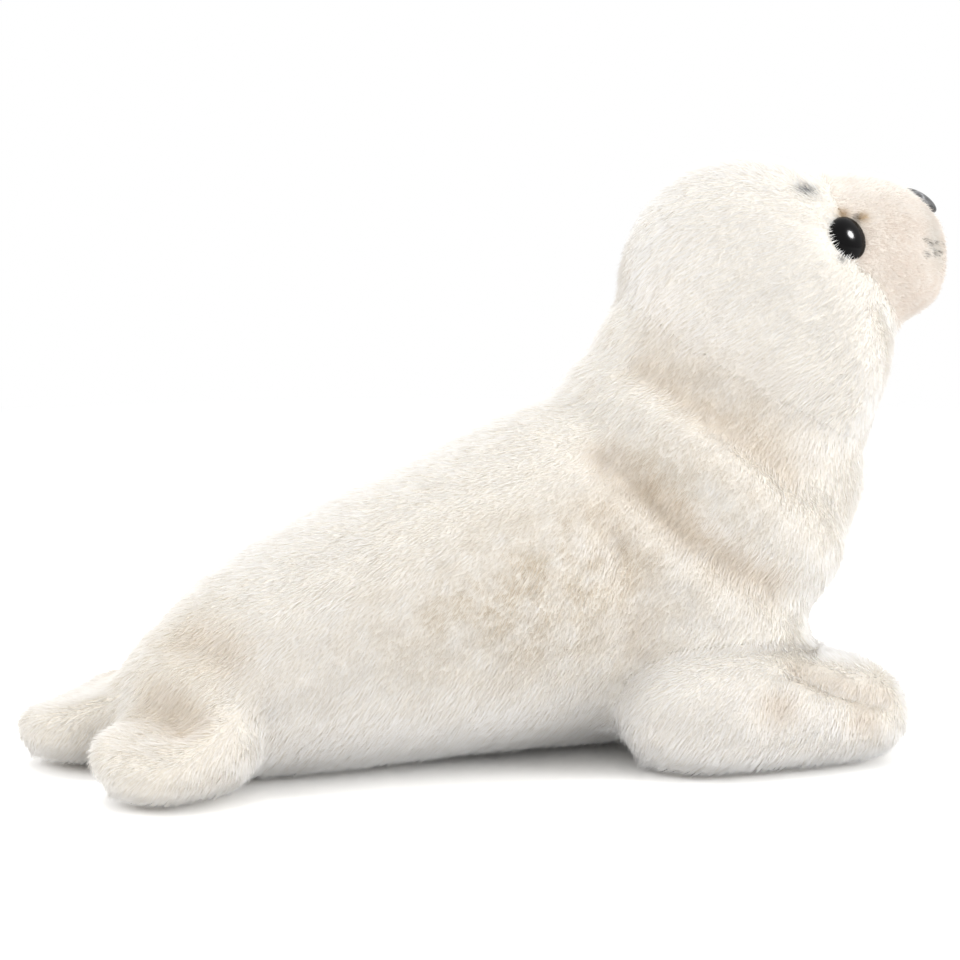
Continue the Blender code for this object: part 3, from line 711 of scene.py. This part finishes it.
def pileMaterial(name, root, middle, tip, partedAndShaded, amount):
    # long-pile polyester plush: near-white tips, warmer and darker where one looks down to the backing
    material = newMaterial(name)
    tree = material.node_tree
    tipward = addNode(tree, "ShaderNodeAttribute", attribute_name="tipward")
    shade = addNode(tree, "ShaderNodeAttribute", attribute_name="shade")
    dye = addNode(tree, "ShaderNodeAttribute", attribute_name="dye")
    ramp = addNode(tree, "ShaderNodeValToRGB", {"Fac": tipward.outputs["Fac"]})
    ramp.color_ramp.elements[0].color = linearColour(root)
    ramp.color_ramp.elements[1].color = linearColour(tip)
    ramp.color_ramp.elements[1].position = 0.8
    halfWay = ramp.color_ramp.elements.new(0.4)
    halfWay.color = linearColour(middle)
    place = addNode(tree, "ShaderNodeTexCoord")
    # brushed patches about 10 mm across, with locks of about 2 mm in them; on the flank, the neck and surfaces that
    # face sideways this parted colour is painted shade
    patches = addNode(tree, "ShaderNodeTexNoise", {"Vector": place.outputs["Object"], "Scale": 1.0 / 0.010,
                      "Detail": 5.0, "Roughness": 0.7})
    patchy = addNode(tree, "ShaderNodeMapRange", {"Value": patches.outputs["Fac"], "From Min": 0.32, "From Max": 0.60,
                     "To Max": amount})
    brushed = addNode(tree, "ShaderNodeAttribute", attribute_name="brushed")
    patchy = addNode(tree, "ShaderNodeMath", {0: patchy.outputs[0], 1: brushed.outputs["Fac"]},
                     operation="MULTIPLY")
    mixed = addNode(tree, "ShaderNodeMix", {}, data_type="RGBA")
    tree.links.new(patchy.outputs[0], mixed.inputs[0])
    tree.links.new(ramp.outputs["Color"], mixed.inputs[6])
    mixed.inputs[7].default_value = linearColour(partedAndShaded)
    tone = addNode(tree, "ShaderNodeMapRange", {"Value": shade.outputs["Fac"], "To Min": 0.975, "To Max": 1.01})
    toned = addNode(tree, "ShaderNodeVectorMath", {0: mixed.outputs[2], "Scale": tone.outputs[0]},
                    operation="SCALE")
    colour = addNode(tree, "ShaderNodeVectorMath", {0: toned.outputs[0], 1: dye.outputs["Color"]},
                     operation="MULTIPLY")
    shader = addNode(tree, "ShaderNodeBsdfPrincipled", {"Base Color": colour.outputs[0], "Roughness": 0.8,
                     "Specular IOR Level": 0.25, "Sheen Weight": 0.25, "Sheen Roughness": 0.5})
    addNode(tree, "ShaderNodeOutputMaterial", {"Surface": shader.outputs[0]})
    return material


# the fourth colour is the parted beige, which also paints shade on the flank, the neck and side-facing surfaces
longPile = pileMaterial("whiteLongPile", "#EBE6DD", "#F4F2EF", "#F9F8F7", "#DED2C0", 0.8)
bodyPile = pileMaterial("brushedLongPile", "#EDE7DD", "#F6F4F0", "#FCFBFA", "#D3C5AF", 1.0)
shortPile = pileMaterial("creamShortPile", "#EEE6DC", "#F6F2EC", "#FAF8F5", "#E3D2C3", 0.8)


def backingMaterial(name, colour):
    # knitted backing seen between the tufts, the colour of the pile's shaded roots
    material = newMaterial(name)
    tree = material.node_tree
    place = addNode(tree, "ShaderNodeTexCoord")
    knit = addNode(tree, "ShaderNodeTexNoise", {"Vector": place.outputs["Object"], "Scale": 1.0 / 0.0012,
                   "Detail": 2.0})
    raised = addNode(tree, "ShaderNodeBump", {"Height": knit.outputs["Fac"], "Strength": 0.6, "Distance": 0.0006})
    dye = addNode(tree, "ShaderNodeAttribute", attribute_name="dye")
    dyedAndShaded = addNode(tree, "ShaderNodeVectorMath", {0: linearColour(colour)[:3], 1: dye.outputs["Color"]},
                   operation="MULTIPLY")
    shader = addNode(tree, "ShaderNodeBsdfPrincipled", {"Base Color": dyedAndShaded.outputs[0], "Roughness": 0.9,
                     "Specular IOR Level": 0.2, "Normal": raised.outputs[0]})
    addNode(tree, "ShaderNodeOutputMaterial", {"Surface": shader.outputs[0]})
    return material


longBacking = backingMaterial("warmKnitBacking", "#EFEAE1")
shortBacking = backingMaterial("paleKnitBacking", "#F4EEE6")

for nodeName, skin in skins.items():
    skin.data.materials.clear()
    skin.data.materials.append(shortBacking if nodeName == "muzzle" else longBacking)
    dyeAndShadeMesh(skin.data, nodeName)

for name, own in piles.items():
    settings = {**usualPile, **own}
    panel = panels[settings["on"]]
    tuft = newPiece(name + "_tuft", tuftMesh(name + "_tuft", settings))
    density = settings["tufts"] / skinArea(panel, settings["from"], settings["to"])
    pile = newPiece(name, panel.data.copy())
    scatter = pile.modifiers.new("tufts", "NODES")
    scatter.node_group = scatterTree(name, tuft, settings, density)
    bakeModifiers(pile)
    bpy.data.objects.remove(tuft)
    pressOnFloor(pile.data)
    softenShading(pile.data, settings["softness"])
    pile.data.materials.clear()
    pile.data.materials.append({"muzzle": shortPile, "body": bodyPile}.get(settings["on"], longPile))
    dyeAndShadeMesh(pile.data, settings["on"], tuftSize=4)
    for attribute in list(pile.data.attributes):
        if attribute.name in ("openness", "trim", "wideMuzzle", "lie", "skinWay"):
            pile.data.attributes.remove(attribute)
    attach(pile, "root")
    print("stage:", name, len(pile.data.polygons), "faces", round(density / 1e6, 2), "tufts per square mm")

for panel in panels.values():
    bpy.data.objects.remove(panel)


# eyes and nose

# moulded acrylic safety eye: deep black, glassy smooth
blackEye = newMaterial("blackAcrylicEye")
tree = blackEye.node_tree
shader = addNode(tree, "ShaderNodeBsdfPrincipled", {"Base Color": linearColour("#060506"),
                 "Roughness": 0.16, "IOR": 1.49, "Specular IOR Level": 0.13})
addNode(tree, "ShaderNodeOutputMaterial", {"Surface": shader.outputs[0]})


def turnedMesh(name, profile, steps, place):
    # a profile of (along, radius) points turned about +X
    bm = bmesh.new()
    verts = [bm.verts.new((along, 0.0, radius)) for along, radius in profile]
    edges = [bm.edges.new(pair) for pair in zip(verts, verts[1:])]
    bmesh.ops.spin(bm, geom=verts + edges, cent=(0, 0, 0), axis=(1, 0, 0), dvec=(0, 0, 0),
                   angle=math.tau, steps=steps, use_merge=True)
    bmesh.ops.remove_doubles(bm, verts=bm.verts, dist=0.000005)
    bmesh.ops.recalc_face_normals(bm, faces=bm.faces)
    bmesh.ops.transform(bm, matrix=place, verts=bm.verts)
    return meshFrom(name, bm)


def frameAt(at, facing):
    return Matrix.Translation(at) @ Vector(facing).to_track_quat("X", "Z").to_matrix().to_4x4()


for side in ("right", "left"):
    radius = eyes["across"] / 2.0
    rear = -eyes["sunk"] - eyes["flange"]
    end = rear - eyes["long"]
    arc = [math.radians(90.0 * step / eyes["arcSteps"]) for step in range(eyes["arcSteps"] + 1)]
    profile = [(eyes["dome"] * math.cos(turn) - eyes["sunk"], radius * math.sin(turn)) for turn in arc]
    profile += [(rear + eyes["edge"], radius), (rear, radius - eyes["edge"]), (rear, eyes["shank"] / 2.0)]
    profile += [(end, eyes["shank"] / 2.0), (end, 0.0)]
    name = "eye_" + side + "_dome"
    place = frameAt(eyes[side]["at"], eyes[side]["facing"])
    eye = newPiece(name, turnedMesh(name, profile, eyes["turnSteps"], place))
    eye.data.materials.append(blackEye)
    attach(eye, "root")
    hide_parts("eye_" + side)

# satin stitch in black rayon: dark, with the soft gloss of laid threads and a paler nostril line
blackThread = newMaterial("blackSatinThread")
tree = blackThread.node_tree
place = addNode(tree, "ShaderNodeTexCoord")
stitches = addNode(tree, "ShaderNodeTexWave", {"Vector": place.outputs["Object"], "Scale": 1.0 / 0.0045,
                   "Distortion": 1.5, "Detail": 2.0}, wave_type="BANDS", bands_direction="Y")    # 0.7 mm threads
laid = addNode(tree, "ShaderNodeBump", {"Height": stitches.outputs["Fac"], "Strength": 0.5, "Distance": 0.0002})
stripe = addNode(tree, "ShaderNodeAttribute", attribute_name="stripe")
threads = addNode(tree, "ShaderNodeMapRange", {"Value": stitches.outputs["Fac"], "To Min": 0.7, "To Max": 1.2})
stripeColour = addNode(tree, "ShaderNodeMix", data_type="RGBA")
tree.links.new(stripe.outputs["Fac"], stripeColour.inputs[0])
stripeColour.inputs[6].default_value = linearColour("#212123")
stripeColour.inputs[7].default_value = linearColour("#8C8D90")
shaded = addNode(tree, "ShaderNodeVectorMath", {0: stripeColour.outputs[2], "Scale": threads.outputs[0]},
                 operation="SCALE")
shader = addNode(tree, "ShaderNodeBsdfPrincipled", {"Base Color": shaded.outputs[0], "Roughness": 0.55,
                 "Specular IOR Level": 0.35, "Sheen Weight": 0.15, "Normal": laid.outputs[0]})
addNode(tree, "ShaderNodeOutputMaterial", {"Surface": shader.outputs[0]})

bm = bmesh.new()
bmesh.ops.create_uvsphere(bm, u_segments=96, v_segments=64, radius=0.5)
bmesh.ops.scale(bm, vec=(nose["thick"], nose["wide"], nose["long"]), verts=bm.verts)
stripeLayer = bm.verts.layers.float.new("stripe")
bm.normal_update()
for vert in bm.verts:
    spot = Vector((abs(vert.co.y), vert.co.z))
    gap = 1.0
    for near, far in zip(nose["curve"], nose["curve"][1:]):
        start, step = Vector(near) * mm, (Vector(far) - Vector(near)) * mm
        share = min(1.0, max(0.0, (spot - start).dot(step) / step.length_squared))
        gap = min(gap, (spot - start - step * share).length)
    if vert.co.x > nose["front"]:
        vert[stripeLayer] = math.exp(-(gap / nose["stripe"]) ** 2)
        vert.co += vert.normal * nose["raised"] * vert[stripeLayer]
        middle = math.exp(-(vert.co.y / nose["groove"]) ** 2)
        vert.co -= vert.normal * nose["grooveDeep"] * middle      # the groove down the middle
bmesh.ops.transform(bm, matrix=frameAt(nose["at"], nose["facing"]) @ Matrix.Translation((-nose["sunk"], 0, 0)),
                    verts=bm.verts)
nosePad = newPiece("nose_pad", meshFrom("nose_pad", bm))
nosePad.data.materials.append(blackThread)
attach(nosePad, "root")
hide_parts("nose")
print("stage: eyes and nose are made")

# injection-moulded nylon, milky and half matt
nylon = newMaterial("naturalNylon")
tree = nylon.node_tree
place = addNode(tree, "ShaderNodeTexCoord")
cloud = addNode(tree, "ShaderNodeTexNoise", {"Vector": place.outputs["Object"], "Scale": 1.0 / 0.002})
milky = addNode(tree, "ShaderNodeValToRGB", {"Fac": cloud.outputs["Fac"]})
milky.color_ramp.elements[0].color = linearColour("#E6E3D9")
milky.color_ramp.elements[1].color = linearColour("#F1EFE8")
shader = addNode(tree, "ShaderNodeBsdfPrincipled", {"Base Color": milky.outputs["Color"], "Roughness": 0.4})
addNode(tree, "ShaderNodeOutputMaterial", {"Surface": shader.outputs[0]})
for side in ("right", "left"):
    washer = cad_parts["eye_washer_" + side]
    washer.data.materials.clear()
    washer.data.materials.append(nylon)
